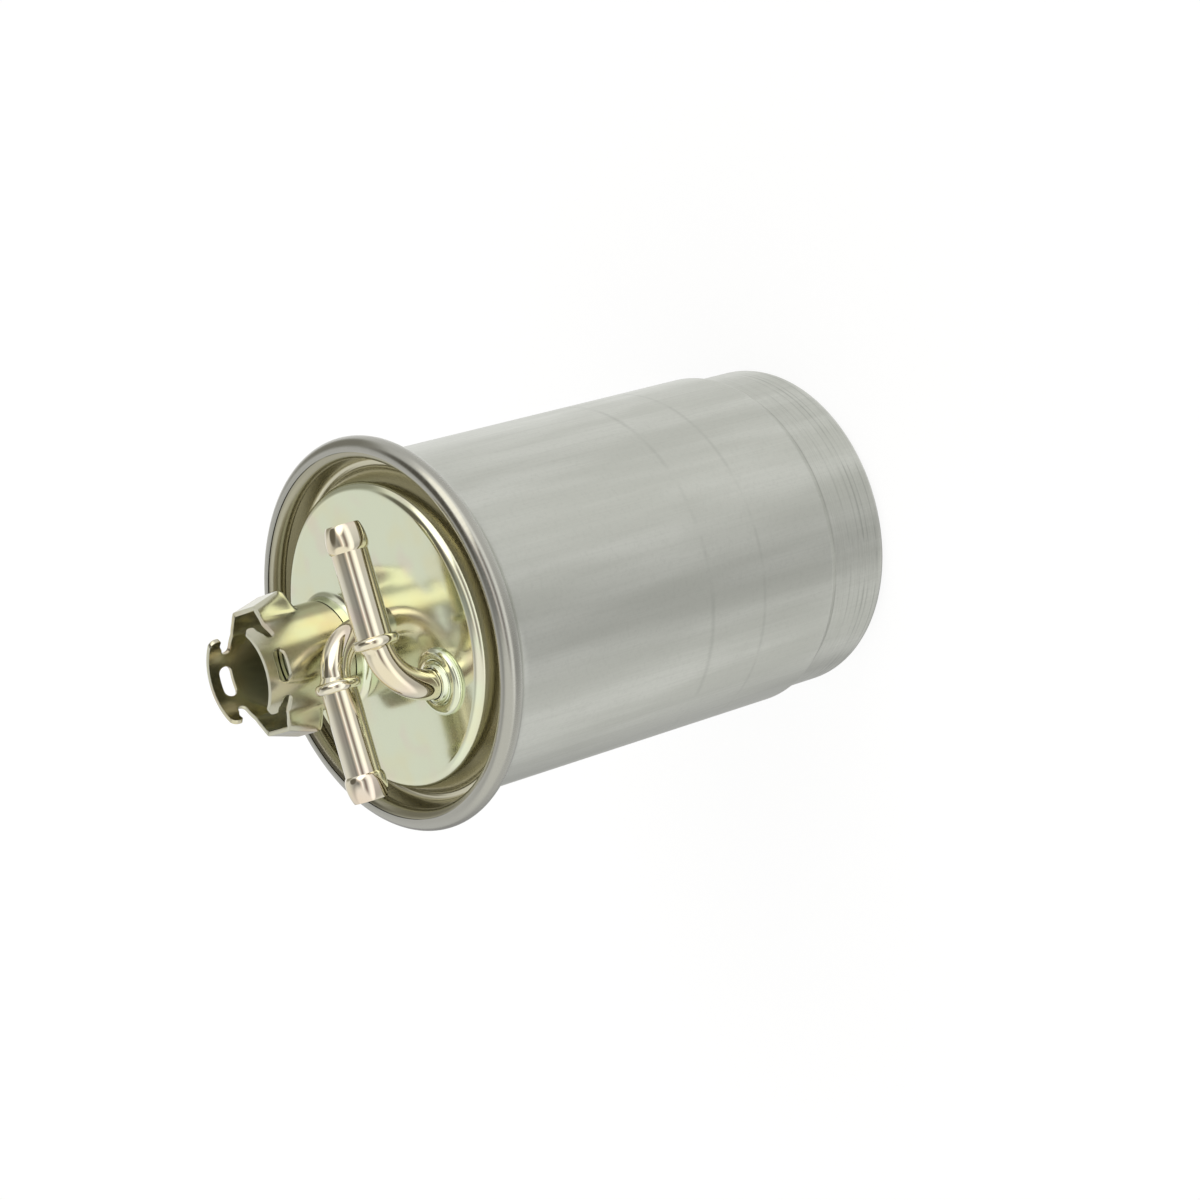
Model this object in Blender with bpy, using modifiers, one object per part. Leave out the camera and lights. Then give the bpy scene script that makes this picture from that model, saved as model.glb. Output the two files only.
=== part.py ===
"""Diesel fuel filter: a drawn can closed by a seamed lid that carries two hose pipes and a control-valve collar.

The frame is in metres, +Z up the can's axis, and the origin is the centre of the face that the can stands on.
Both pipes run along X, and the valve collar stands behind the can's axis, on +Y.
"""

import math

import bmesh
import bpy
from mathutils import Matrix, Vector

MM = 0.001
GAP = 0.3 * MM
NAME = "fuel_filter"

# Driving sizes of the can and its rolled seam.
CAN_R = 38.82 * MM
CAN_WALL = 0.9 * MM
FOOT_R = 37.6 * MM
FOOT_CORNER = 3.5 * MM
FOOT_TOP_Z = 17.0 * MM
SHOULDER_H = 2.6 * MM
ROLL_SHEET = 0.8 * MM
ROLL_R = 2.6 * MM
ROLL_CENTRE = (41.4 * MM, 116.3 * MM)
FLARE_R = 4.8 * MM
FLARE_CENTRE = (43.6 * MM, 108.2 * MM)

# The drain recess drawn up into the can's bottom.
RECESS_R = 21.0 * MM
RECESS_H = 14.0 * MM
BOSS_HOLE_R = 7.8 * MM

# Hose pipes. Each is (x, y) where it leaves the lid, elbow radius, which way it points, and its tip's x.
TUBE_R = 3.35 * MM
STUB_R = 4.0 * MM
BEAD_R = 5.0 * MM
BORE_R = 2.2 * MM
TIP_LENGTH = 5.5 * MM
INLET_XY = (-12.7 * MM, -17.0 * MM)
INLET_ELBOW = 11.5 * MM
INLET_Z = 132.0 * MM
INLET_TIP_X = 24.8 * MM
INLET_END_Z = 112.0 * MM
OUTLET_XY = (2.4 * MM, 0.0)
OUTLET_ELBOW = 9.7 * MM
OUTLET_Z = 132.8 * MM
OUTLET_TIP_X = -33.1 * MM
OUTLET_END_Z = 114.5 * MM
PIPE_HOLE_R = 3.7 * MM
RING_R = 6.05 * MM
RING_HALF = 1.45 * MM

# Control-valve collar, a formed tube on the lid's drawn neck.
COLLAR_Y = 18.0 * MM
COLLAR_R = 12.0 * MM
COLLAR_SHEET = 1.0 * MM
COLLAR_FOOT_Z = 122.2 * MM
COLLAR_TOP_Z = 145.0 * MM
SLOT_Z = 140.85 * MM
SHELF_Z = 139.4 * MM
EAR_TOP_Z = 139.0 * MM
EAR_BULGE_Z = 131.5 * MM
EAR_ROOT_Z = 128.7 * MM
EAR_EDGE_X = 14.0 * MM
EAR_BULGE_X = 16.0 * MM
EAR_HALF = 4.4 * MM
GUSSET = 1.0 * MM
FLARE_END = 3.0 * MM
NECK_R = 10.65 * MM
NECK_BORE_R = 9.6 * MM
NECK_TOP_Z = 126.5 * MM

# Filter element.
PLEATS = 48
PLEAT_IN_R = 12.2 * MM
PLEAT_OUT_R = 34.8 * MM
PAPER_T = 0.35 * MM
ELEMENT_LOW_Z = 29.8 * MM
ELEMENT_HIGH_Z = 104.2 * MM
CAP_R = 36.2 * MM
TUBE_IN_R = 10.0 * MM
TUBE_OUT_R = 10.8 * MM

# Drain screw. It turns on its thread, so it moves down by the thread's pitch for each turn.
SCREW_R = 4.0 * MM
SCREW_HEAD_R = 8.5 * MM
SCREW_HEAD_LOW_Z = 4.2 * MM
SCREW_HEAD_HIGH_Z = 9.0 * MM
SCREW_TOP_Z = 20.0 * MM
BOSS_LOW_Z = 11.2 * MM

STEPS = 48
CAP_STEPS = 28
SMALL_STEPS = 20
ELBOW_STEPS = 9

COLOURS = {
    "aluminium": ((0.60, 0.61, 0.58), 0.32, 1.0),
    "chromate": ((0.62, 0.64, 0.44), 0.25, 1.0),
    "brass": ((0.70, 0.52, 0.25), 0.35, 1.0),
    "steel": ((0.50, 0.50, 0.50), 0.35, 1.0),
    "rubber": ((0.03, 0.03, 0.03), 0.80, 0.0),
    "compound": ((0.08, 0.22, 0.16), 0.70, 0.0),
    "paper": ((0.75, 0.62, 0.38), 0.85, 0.0),
    "glue": ((0.55, 0.28, 0.12), 0.50, 0.0),
    "plastic": ((0.04, 0.04, 0.05), 0.45, 0.0),
}


def clear_scene():
    for obj in list(bpy.data.objects):
        bpy.data.objects.remove(obj)


def new_collection(name):
    made = bpy.data.collections.new(name)
    bpy.context.scene.collection.children.link(made)
    return made


def material(node, kind):
    colour, roughness, metallic = COLOURS[kind]
    made = bpy.data.materials.new(node + "_material")
    made.use_nodes = True
    shader = made.node_tree.nodes["Principled BSDF"]
    shader.inputs["Base Color"].default_value = (*colour, 1.0)
    shader.inputs["Roughness"].default_value = roughness
    shader.inputs["Metallic"].default_value = metallic
    return made


def add_mesh(name, mesh, kind, collection, location=(0, 0, 0)):
    obj = bpy.data.objects.new(name, mesh)
    obj.location = location
    collection.objects.link(obj)
    obj.data.materials.append(material(name, kind))
    return obj


def arc(centre, radius, start, end, count):
    """Points on an arc, angles in degrees, both ends included."""
    points = []
    for i in range(count + 1):
        angle = math.radians(start + (end - start) * i / count)
        points.append((centre[0] + radius * math.cos(angle), centre[1] + radius * math.sin(angle)))
    return points


def millimetres(points):
    return [(a * MM, b * MM) for a, b in points]


def running_down(profile):
    """The same (radius, z) outline, ordered so that it runs down its outer side, which turns it right side out."""
    area = 0
    for (r0, z0), (r1, z1) in zip(profile, profile[1:] + profile[:1]):
        area += r0 * z1 - r1 * z0
    return profile if area < 0 else profile[::-1]


def turned(name, profile, kind, collection, at=(0, 0), steps=SMALL_STEPS):
    """A solid of revolution about the vertical through `at`, from a (radius, z) outline.

    An outline that starts and ends on the axis makes a solid block, and any other is closed into a ring.
    """
    profile = running_down(profile)
    mesh = bpy.data.meshes.new(name)
    shape = bmesh.new()
    verts = [shape.verts.new((r, 0, z)) for r, z in profile]
    for first, second in zip(verts, verts[1:]):
        shape.edges.new((first, second))
    if profile[0][0] > 0 or profile[-1][0] > 0:
        shape.edges.new((verts[-1], verts[0]))
    shape.to_mesh(mesh)
    shape.free()
    obj = add_mesh(name, mesh, kind, collection, (at[0], at[1], 0))
    screw = obj.modifiers.new("Turn", "SCREW")
    screw.steps = steps
    screw.render_steps = steps
    screw.use_merge_vertices = True
    screw.merge_threshold = 0.00001
    screw.use_smooth_shade = False
    return obj


def cylinder(name, radius, low, high, kind, collection, at=(0, 0), sides=SMALL_STEPS):
    mesh = bpy.data.meshes.new(name)
    shape = bmesh.new()
    place = Matrix.Translation((0, 0, (low + high) / 2))
    bmesh.ops.create_cone(
        shape, cap_ends=True, segments=sides, radius1=radius, radius2=radius, depth=high - low, matrix=place
    )
    shape.to_mesh(mesh)
    shape.free()
    return add_mesh(name, mesh, kind, collection, (at[0], at[1], 0))


def hide(cutter):
    cutter.hide_render = True
    cutter.display_type = "WIRE"


def boolean(obj, other, operation="DIFFERENCE"):
    modifier = obj.modifiers.new(operation.title(), "BOOLEAN")
    modifier.operation = operation
    modifier.object = other
    modifier.solver = "EXACT"
    hide(other)


def poly_curve(name, points, radii, bevel, kind, collection):
    """A capped round tube along points, with a radius factor at each point."""
    data = bpy.data.curves.new(name, "CURVE")
    data.dimensions = "3D"
    data.bevel_depth = bevel
    data.bevel_resolution = 3
    data.use_fill_caps = True
    spline = data.splines.new("POLY")
    spline.points.add(len(points) - 1)
    for point, position, radius in zip(spline.points, points, radii):
        point.co = (*position, 1)
        point.radius = radius / bevel
    obj = bpy.data.objects.new(name, data)
    collection.objects.link(obj)
    obj.data.materials.append(material(name, kind))
    return obj


def curve_to_mesh(obj):
    """The same object as a mesh with its caps welded, so that it can be cut."""
    graph = bpy.context.evaluated_depsgraph_get()
    mesh = bpy.data.meshes.new_from_object(obj.evaluated_get(graph))
    shape = bmesh.new()
    shape.from_mesh(mesh)
    bmesh.ops.remove_doubles(shape, verts=shape.verts, dist=0.000001)
    bmesh.ops.recalc_face_normals(shape, faces=shape.faces)
    shape.to_mesh(mesh)
    shape.free()
    name = obj.name
    place = obj.matrix_world.copy()
    home = obj.users_collection[0]
    bpy.data.objects.remove(obj)
    made = bpy.data.objects.new(name, mesh)
    made.matrix_world = place
    home.objects.link(made)
    return made


def can_outline():
    """The can's wall in section: foot, recess, shoulder, straight side, flare, and the edge rolled over the lid."""
    low_corner = (FOOT_R - FOOT_CORNER, FOOT_CORNER)
    lip = 3.0 * MM
    side_top = 107.2 * MM
    outer = [(BOSS_HOLE_R, RECESS_H)]
    outer += arc((RECESS_R - lip, RECESS_H - lip), lip, 90, 0, 2)
    outer += arc((RECESS_R + lip, lip), lip, 180, 270, 2)
    outer += arc(low_corner, FOOT_CORNER, 270, 360, 4)
    outer += [(FOOT_R, FOOT_TOP_Z), (FOOT_R + 0.35 * MM, FOOT_TOP_Z + 0.9 * MM)]
    outer += [(CAN_R - 0.35 * MM, FOOT_TOP_Z + SHOULDER_H - 0.9 * MM), (CAN_R, FOOT_TOP_Z + SHOULDER_H)]
    outer += [(CAN_R, side_top)]
    outer += arc(FLARE_CENTRE, FLARE_R, 176, 108, 3)
    outer += millimetres([(42.1, 113.4), (42.8, 113.4)])
    outer += arc(ROLL_CENTRE, ROLL_R, -60, 210, 9)
    inner = arc(ROLL_CENTRE, ROLL_R - ROLL_SHEET, 210, -60, 6)
    inner += arc(FLARE_CENTRE, FLARE_R + ROLL_SHEET, 112, 176, 3)
    inner += [(CAN_R - CAN_WALL, side_top), (CAN_R - CAN_WALL, FOOT_TOP_Z + SHOULDER_H)]
    inner += [(FOOT_R - CAN_WALL, FOOT_TOP_Z)]
    inner += arc(low_corner, FOOT_CORNER - CAN_WALL, 360, 270, 3)
    inner += arc((RECESS_R + lip, lip), lip - CAN_WALL, 270, 180, 2)
    inner += arc((RECESS_R - lip, RECESS_H - lip), lip + CAN_WALL, 0, 90, 2)
    inner += [(BOSS_HOLE_R, RECESS_H + CAN_WALL)]
    return outer + inner


def can(parts):
    return turned("can", can_outline(), "aluminium", parts, steps=STEPS)


def lid_outline():
    """The lid's sheet in section: plate, rounded edge, groove, chuck wall, and the flange under the can's roll."""
    edge = (31.9 * MM, 116.2 * MM)
    edge_r = 2.5 * MM
    top = [(0.0, edge[1] + edge_r)] + arc(edge, edge_r, 90, 25, 3)
    top += millimetres([(36.2, 112.5), (36.7, 111.9), (37.4, 111.7), (38.2, 111.9), (39.0, 113.1), (40.4, 114.9)])
    flange = millimetres([(41.2, 116.1), (42.6, 116.1), (42.6, 115.3), (41.6, 115.3)])
    under = millimetres([(40.0, 113.1), (39.1, 112.1), (38.3, 111.0), (37.4, 110.8), (36.1, 111.0), (35.4, 111.8)])
    under += millimetres([(33.1, 116.3), (31.9, 117.3), (0.0, 117.3)])
    return top + flange + under


def neck_outline():
    """The drawn neck that the valve collar is pressed on."""
    foot = arc((13.8 * MM, 120.45 * MM), 1.8 * MM, 180, 270, 4)
    outer = [(NECK_BORE_R, NECK_TOP_Z), (NECK_R, NECK_TOP_Z), (NECK_R, 121.9 * MM), (12.0 * MM, 121.9 * MM)]
    return outer + foot + [(13.8 * MM, 118.0 * MM), (NECK_BORE_R, 118.0 * MM)]


def lid(parts, cutters):
    plate = turned("lid", lid_outline(), "chromate", parts, steps=STEPS)
    neck = turned("lid_neck", neck_outline(), "chromate", cutters, (0, COLLAR_Y))
    boolean(plate, neck, "UNION")
    low, high = 110 * MM, 130 * MM
    bore = cylinder("lid_neck_bore", NECK_BORE_R, low, high, "chromate", cutters, (0, COLLAR_Y))
    boolean(plate, bore)
    for name, at in (("lid_inlet_hole", INLET_XY), ("lid_outlet_hole", OUTLET_XY)):
        boolean(plate, cylinder(name, PIPE_HOLE_R, low, high, "chromate", cutters, at, 24))
    return plate


def seam_seal(parts):
    """The sealing compound between the lid's flange and the can's roll."""
    outline = millimetres([(41.6, 116.45), (42.5, 116.45), (42.5, 117.3), (41.6, 117.3)])
    return turned("seam_seal", outline, "compound", parts, steps=STEPS)


def collar_outline():
    """A quarter of the collar's sheet laid flat: along the sheet from a tab's middle to an ear's middle, and up."""
    quarter = COLLAR_R * math.pi / 2
    notch_r, slot_r = 1.15 * MM, 1.5 * MM
    notch = (7.95 * MM, SHELF_Z + notch_r)
    slot_end = (2.0 * MM, SLOT_Z)
    points = [(0, COLLAR_FOOT_Z), (quarter, COLLAR_FOOT_Z), (quarter, EAR_TOP_Z)]
    points += [(quarter - EAR_HALF, EAR_TOP_Z), (12.6 * MM, SHELF_Z - 0.15 * MM), (11.2 * MM, SHELF_Z)]
    points += arc(notch, notch_r, 270, 90, 5)
    points += millimetres([(8.7, 142.15), (9.6, 142.4)])
    points += arc((10.45 * MM, 142.95 * MM), 0.65 * MM, 250, 360, 2)
    points += arc((9.55 * MM, COLLAR_TOP_Z - 1.55 * MM), 1.55 * MM, 0, 90, 3)
    points += [(0, COLLAR_TOP_Z), (0, SLOT_Z + slot_r)]
    points += arc(slot_end, slot_r, 90, -90, 6)
    points += [(0, SLOT_Z - slot_r)]
    return points


def portion(value, low, high):
    """How far a value has gone from low to high, between 0 and 1."""
    return min(max((value - low) / (high - low), 0.0), 1.0)


def ear_reach(z):
    """How far an ear's plate stands from the collar's axis at height z."""
    if z >= EAR_BULGE_Z:
        return EAR_BULGE_X + (EAR_EDGE_X - EAR_BULGE_X) * (z - EAR_BULGE_Z) / (EAR_TOP_Z - EAR_BULGE_Z)
    risen = portion(z, EAR_ROOT_Z, EAR_BULGE_Z)
    return COLLAR_R + (EAR_BULGE_X - COLLAR_R) * math.sin(risen * math.pi / 2)


def formed(along, z):
    """Where a point of the flat sheet lies once the tube is formed: x towards the ear, y towards the tab.

    An ear is a plate pushed out of the tube, closed by a steep gusset, beyond which the tube's side still flares.
    """
    turn = along / COLLAR_R
    tube = Vector((math.sin(turn), math.cos(turn))) * COLLAR_R
    from_middle = COLLAR_R * math.pi / 2 - along
    gusset_end = EAR_HALF + GUSSET
    flare = 1.3 * MM * portion(z, EAR_BULGE_Z, EAR_TOP_Z)
    flare *= 1 - portion(from_middle, gusset_end, EAR_HALF + FLARE_END)
    side = tube * (1 + flare / COLLAR_R)
    plate = tube.lerp(Vector((ear_reach(z), from_middle)), portion(z, EAR_ROOT_Z, EAR_ROOT_Z + 1.3 * MM))
    return plate.lerp(side, portion(from_middle, EAR_HALF, gusset_end))


def valve_collar(parts):
    """The collar: a quarter sheet cut to its outline, formed, mirrored twice and thickened inwards."""
    name = "valve_collar"
    shape = bmesh.new()
    face = shape.faces.new([shape.verts.new((along, z, 0)) for along, z in collar_outline()])
    face.normal_update()
    middle = COLLAR_R * math.pi / 2
    columns = [t * MM for t in (1.7, 3.4, 5.1, 6.8, 8.4, 9.8, 15.8, 17.4)]
    columns += [middle - EAR_HALF, middle - EAR_HALF - GUSSET, middle - EAR_HALF - FLARE_END]
    rows = [z * MM for z in (127.6, 128.7, 129.4, 130.4, 131.5, 133.5, 135.5, 137.5, 139.4, 141.2, 143.2)]
    cuts = [((along, 0, 0), (1, 0, 0)) for along in columns] + [((0, z, 0), (0, 1, 0)) for z in rows]
    for place, normal in cuts:
        everything = shape.verts[:] + shape.edges[:] + shape.faces[:]
        bmesh.ops.bisect_plane(shape, geom=everything, plane_co=place, plane_no=normal, dist=0.00001)
    for vert in shape.verts:
        along, z = vert.co.x, vert.co.y
        position = formed(along, z)
        vert.co = (position.x, position.y, z)
    bmesh.ops.triangulate(shape, faces=[f for f in shape.faces if len(f.verts) > 4])
    bmesh.ops.recalc_face_normals(shape, faces=shape.faces)
    middle = shape.faces[0].calc_center_median()
    if shape.faces[0].normal.dot(Vector((middle.x, middle.y, 0))) < 0:
        bmesh.ops.reverse_faces(shape, faces=shape.faces)
    mesh = bpy.data.meshes.new(name)
    shape.to_mesh(mesh)
    shape.free()
    obj = add_mesh(name, mesh, "chromate", parts, (0, COLLAR_Y, 0))
    mirror = obj.modifiers.new("Mirror", "MIRROR")
    mirror.use_axis = (True, True, False)
    mirror.merge_threshold = 0.00002
    sheet = obj.modifiers.new("Sheet", "SOLIDIFY")
    sheet.thickness = COLLAR_SHEET
    sheet.offset = -1
    return obj


def valve_socket_cup(parts):
    """The cup in the neck that the control valve's seals run in, with its return port in the floor."""
    outline = millimetres(
        [(2.2, 110.0), (9.25, 110.0), (9.25, 126.3), (8.6, 126.3), (8.0, 125.5), (8.0, 111.5), (2.2, 111.5)]
    )
    return turned("valve_socket_cup", outline, "steel", parts, (0, COLLAR_Y))


def pipe_path(base, elbow, side, tip_x, run_z, end_z):
    """Stations along a pipe as (point, radius), from its end inside the filter to its bulged tip."""
    x, y = base
    stations = [((x, y, end_z), TUBE_R), ((x, y, run_z - elbow - 1.0 * MM), TUBE_R)]
    for i in range(ELBOW_STEPS + 1):
        turn = math.radians(90 * i / ELBOW_STEPS)
        reach = elbow * (1 - math.cos(turn))
        stations.append(((x + side * reach, y, run_z - elbow + elbow * math.sin(turn)), TUBE_R))
    bead_x = x + side * elbow
    cone_x = tip_x - side * TIP_LENGTH
    straight = [(0.2, TUBE_R), (0.3, 4.3 * MM), (0.7, BEAD_R), (1.5, BEAD_R), (1.9, 4.3 * MM), (2.0, STUB_R)]
    for step, radius in straight:
        stations.append(((bead_x + side * step * MM, y, run_z), radius))
    ends = [(-0.3, STUB_R), (0.2, 4.45 * MM), (1.3, 4.75 * MM), (2.5, 4.65 * MM), (3.7, 4.25 * MM), (4.8, 3.7 * MM)]
    for step, radius in ends:
        stations.append(((cone_x + side * step * MM, y, run_z), radius))
    stations.append(((tip_x, y, run_z), 3.25 * MM))
    return stations


def hose_pipe(name, base, elbow, side, tip_x, run_z, end_z, parts, cutters):
    stations = pipe_path(base, elbow, side, tip_x, run_z, end_z)
    points = [point for point, _ in stations]
    solid = curve_to_mesh(poly_curve(name, points, [r for _, r in stations], STUB_R, "chromate", parts))
    first, last = Vector(points[0]), Vector(points[-1])
    first.z -= 1 * MM
    last.x += side * MM
    through = [first] + points[1:ELBOW_STEPS + 3] + [last]
    bore = poly_curve(name + "_bore", through, [BORE_R] * len(through), BORE_R, "chromate", cutters)
    boolean(solid, curve_to_mesh(bore))
    return solid


def ferrule(name, at, ring_r, parts):
    """The brazed funnel that grips a pipe's foot, inside a raised ring where the lid has room for one."""
    low = 118.95 * MM
    inner = PIPE_HOLE_R - 0.05 * MM
    funnel = [(4.5 * MM, low + 1.1 * MM), (4.1 * MM, low + 2.2 * MM), (inner, low + 2.4 * MM), (inner, low)]
    if ring_r:
        outer = arc((ring_r, low), RING_HALF, 0, 135, 4) + [(4.9 * MM, low + 0.7 * MM)]
    else:
        outer = [(4.85 * MM, low)]
    return turned(name, outer + funnel, "chromate", parts, at)


def outlet_socket(parts):
    """The spigot under the lid that the element's seal slides on."""
    outline = millimetres(
        [(6.6, 98.0), (7.6, 98.0), (7.6, 115.0), (8.4, 115.8), (8.4, 117.0), (6.6, 117.0)]
    )
    return turned("outlet_socket", outline, "steel", parts)


def socket_seal(parts):
    outline = millimetres(
        [(7.9, 104.5), (11.3, 104.5), (11.3, 106.0), (13.5, 106.0), (13.5, 107.2), (8.6, 107.8), (7.9, 107.4)]
    )
    return turned("socket_seal", outline, "rubber", parts)


def element_cap(name, face_z, up, hole_r, parts):
    """A pressed end cap: a disc with a lip that turns over the pleats. `up` is +1 on the top cap."""
    sheet = 1.0 * MM
    lip = 4.0 * MM
    outer = face_z + up * sheet
    inside = CAP_R - sheet
    outline = [(hole_r, face_z), (hole_r, outer), (CAP_R - 0.8 * MM, outer), (CAP_R, outer - up * 0.8 * MM)]
    outline += [(CAP_R, face_z - up * lip), (inside, face_z - up * lip), (inside, face_z)]
    return turned(name, outline, "steel", parts, steps=CAP_STEPS)


def glue_ring(name, low, high, parts):
    outline = [(11.4 * MM, low), (34.9 * MM, low), (34.9 * MM, high), (11.4 * MM, high)]
    return turned(name, outline, "glue", parts, steps=CAP_STEPS)


def star(tip_r, tip_half, root_r, root_half):
    """A closed star outline, one tip and one root per pleat, with flat ends of the given half widths."""
    points = []
    for i in range(PLEATS):
        middle = 2 * math.pi * i / PLEATS
        for radius, half, shift in ((tip_r, tip_half, 0), (root_r, root_half, math.pi / PLEATS)):
            for sign in (-1, 1):
                angle = middle + shift + sign * half / radius
                points.append((radius * math.cos(angle), radius * math.sin(angle)))
    return points


def element_pleats(parts):
    """The paper: one endless ribbon folded to and fro between the centre tube and the can."""
    low, high = ELEMENT_LOW_Z + 0.9 * MM, ELEMENT_HIGH_Z - 0.9 * MM
    data = bpy.data.curves.new("element_pleats", "CURVE")
    data.dimensions = "2D"
    data.fill_mode = "BOTH"
    data.extrude = (high - low) / 2
    outside = star(PLEAT_OUT_R, 0.80 * MM, PLEAT_IN_R + PAPER_T, 0.15 * MM)
    inside = star(PLEAT_OUT_R - PAPER_T, 0.80 * MM - PAPER_T, PLEAT_IN_R, 0.15 * MM + PAPER_T)
    for outline in (outside, inside):
        spline = data.splines.new("POLY")
        spline.use_cyclic_u = True
        spline.points.add(len(outline) - 1)
        for point, (x, y) in zip(spline.points, outline):
            point.co = (x, y, 0, 1)
    obj = bpy.data.objects.new("element_pleats", data)
    obj.location = (0, 0, (low + high) / 2)
    parts.objects.link(obj)
    obj.data.materials.append(material("element_pleats", "paper"))
    return obj


def centre_tube(parts, cutters):
    """The perforated tube that the pleats collapse onto under suction."""
    low, high = ELEMENT_LOW_Z + 0.9 * MM, ELEMENT_HIGH_Z - 0.9 * MM
    outline = [(TUBE_IN_R, low), (TUBE_OUT_R, low), (TUBE_OUT_R, high), (TUBE_IN_R, high)]
    tube = turned("centre_tube", outline, "steel", parts, steps=32)
    holes = bmesh.new()
    rows, across = 4, 4
    for row in range(rows):
        z = low + (high - low) * (row + 0.5) / rows
        for i in range(across):
            turn = Matrix.Rotation(math.pi * (i + 0.5 * (row % 2)) / across, 4, "Z")
            place = Matrix.Translation((0, 0, z)) @ turn @ Matrix.Rotation(math.pi / 2, 4, "Y")
            bmesh.ops.create_cone(
                holes, cap_ends=True, segments=6, radius1=1.8 * MM, radius2=1.8 * MM, depth=26 * MM, matrix=place
            )
    mesh = bpy.data.meshes.new("centre_tube_holes")
    holes.to_mesh(mesh)
    holes.free()
    cutter = add_mesh("centre_tube_holes", mesh, "steel", cutters)
    modifier = tube.modifiers.new("Holes", "BOOLEAN")
    modifier.object = cutter
    modifier.solver = "EXACT"
    modifier.use_self = True
    hide(cutter)
    return tube


def water_baffle(parts, cutters):
    """The dished plate that keeps the settled water calm under the element."""
    outline = millimetres(
        [(7.0, 24.4), (33.5, 24.4), (35.3, 22.6), (35.3, 20.6), (36.3, 20.6), (36.3, 23.2), (34.1, 25.4), (7.0, 25.4)]
    )
    plate = turned("water_baffle", outline, "steel", parts, steps=CAP_STEPS)
    count = 6
    for i in range(count):
        angle = 2 * math.pi * i / count
        at = (26 * MM * math.cos(angle), 26 * MM * math.sin(angle))
        boolean(plate, cylinder(f"water_baffle_hole_{i}", 3 * MM, 20 * MM, 28 * MM, "steel", cutters, at, 12))
    return plate


def element_spring(parts):
    """The coil spring that holds the element up against the outlet socket."""
    turns, per_turn = 3, 16
    low, high, radius, wire = 17.4 * MM, 23.0 * MM, 14.8 * MM, 1.0 * MM
    points = []
    for i in range(turns * per_turn + 1):
        angle = 2 * math.pi * i / per_turn
        height = low + (high - low) * i / (turns * per_turn)
        points.append((radius * math.cos(angle), radius * math.sin(angle), height))
    obj = poly_curve("element_spring", points, [wire] * len(points), wire, "steel", parts)
    obj.data.bevel_resolution = 2
    return obj


def spring_seat(parts):
    outline = millimetres([(12.4, 15.2), (17.6, 15.2), (17.6, 17.4), (16.9, 17.4), (16.9, 16.0), (12.4, 16.0)])
    return turned("spring_seat", outline, "steel", parts)


def drain_boss(parts):
    """The threaded bush in the recess that the drain screw turns in."""
    outline = [(SCREW_R + GAP, BOSS_LOW_Z), (11.0 * MM, BOSS_LOW_Z), (11.0 * MM, 13.0 * MM)]
    outline += [(7.5 * MM, 13.0 * MM), (7.5 * MM, 20.8 * MM), (SCREW_R + GAP, 20.8 * MM)]
    return turned("drain_boss", outline, "brass", parts)


def drain_washer(parts):
    outline = millimetres([(7.85, 13.25), (10.8, 13.25), (10.8, 13.75), (7.85, 13.75)])
    return turned("drain_washer", outline, "rubber", parts)


def boss_nut(parts, cutters):
    """The hexagon nut inside the can that clamps the boss and its washer to the recess."""
    nut = cylinder("boss_nut", 11.6 * MM, 15.2 * MM, 18.8 * MM, "brass", parts, (0, 0), 6)
    hole = cylinder("boss_nut_hole", 7.8 * MM, 14 * MM, 20 * MM, "brass", cutters)
    boolean(nut, hole)
    bevel = nut.modifiers.new("Bevel", "BEVEL")
    bevel.width = 0.3 * MM
    bevel.segments = 1
    bevel.limit_method = "ANGLE"
    bevel.angle_limit = math.radians(40)
    return nut


def drain_screw(parts, cutters, joint):
    """The drain screw: a gripped head, a shank, and a drilled way from its cross holes down through the head."""
    head_r, low, high = SCREW_HEAD_R, SCREW_HEAD_LOW_Z, SCREW_HEAD_HIGH_Z
    outline = [(0, low), (head_r - 0.8 * MM, low), (head_r, low + 0.8 * MM), (head_r, high - 0.6 * MM)]
    outline += [(head_r - 0.6 * MM, high), (SCREW_R, high), (SCREW_R, SCREW_TOP_Z - 1.2 * MM)]
    outline += [(SCREW_R - 1.2 * MM, SCREW_TOP_Z), (0, SCREW_TOP_Z)]
    screw = turned("drain_screw", outline, "plastic", parts)
    grips = 10
    for i in range(grips):
        angle = 2 * math.pi * i / grips
        reach = head_r + 1.1 * MM
        at = (reach * math.cos(angle), reach * math.sin(angle))
        boolean(screw, cylinder(f"drain_screw_grip_{i}", 1.9 * MM, 2 * MM, high, "plastic", cutters, at, 12))
    boolean(screw, cylinder("drain_screw_bore", 1.6 * MM, 2 * MM, 16 * MM, "plastic", cutters, (0, 0), 12))
    cross = cylinder("drain_screw_cross", 1.3 * MM, -8 * MM, 8 * MM, "plastic", cutters, (0, 0), 12)
    cross.rotation_euler = (0, math.pi / 2, 0)
    cross.location = (0, 0, 14.8 * MM)
    boolean(screw, cross)
    screw.parent = joint
    return screw


def drain_seal(parts, joint):
    outline = arc((5.2 * MM, 10.1 * MM), 0.78 * MM, 0, 315, 7)
    ring = turned("drain_seal", outline, "rubber", parts)
    ring.parent = joint
    return ring


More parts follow.
